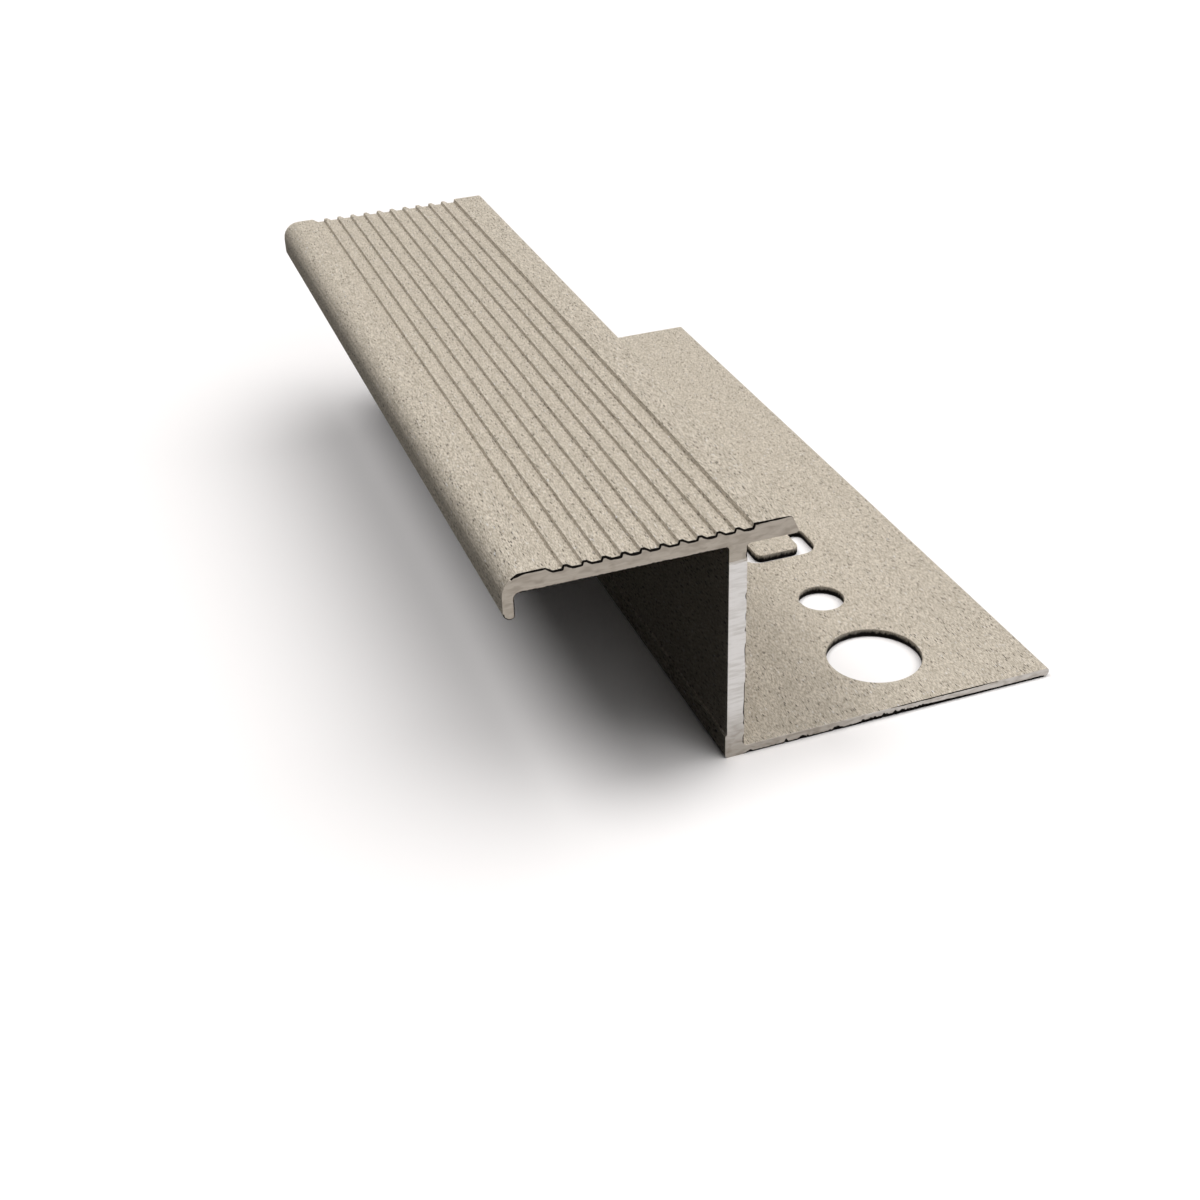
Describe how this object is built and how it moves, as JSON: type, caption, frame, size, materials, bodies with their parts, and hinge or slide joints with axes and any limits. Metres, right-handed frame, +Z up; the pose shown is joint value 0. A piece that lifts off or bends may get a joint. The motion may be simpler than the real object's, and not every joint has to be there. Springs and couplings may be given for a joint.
{
  "type": "stair nosing profile, cut sample of extruded aluminium bar",
  "caption": "Short length of aluminium stair nosing: grooved tread with rounded nose and hanging lip, upright web, and thin punched anchoring leg, in a textured stone-coloured coat.",
  "frame": {"origin": "middle of the bar's footprint, on the floor that the anchoring leg lies on", "axes": "+Y along the bar, +X from the nose towards the leg's free edge, +Z up from the leg to the grooved tread"},
  "size_m": [0.0636, 0.109, 0.0283],
  "materials": {
    "textured_coat": "textured stone-effect powder coat, matt, with bare sawn ends"
  },
  "bodies": {
    "root": {"nosing_profile": "textured_coat"}
  },
  "joints": []
}
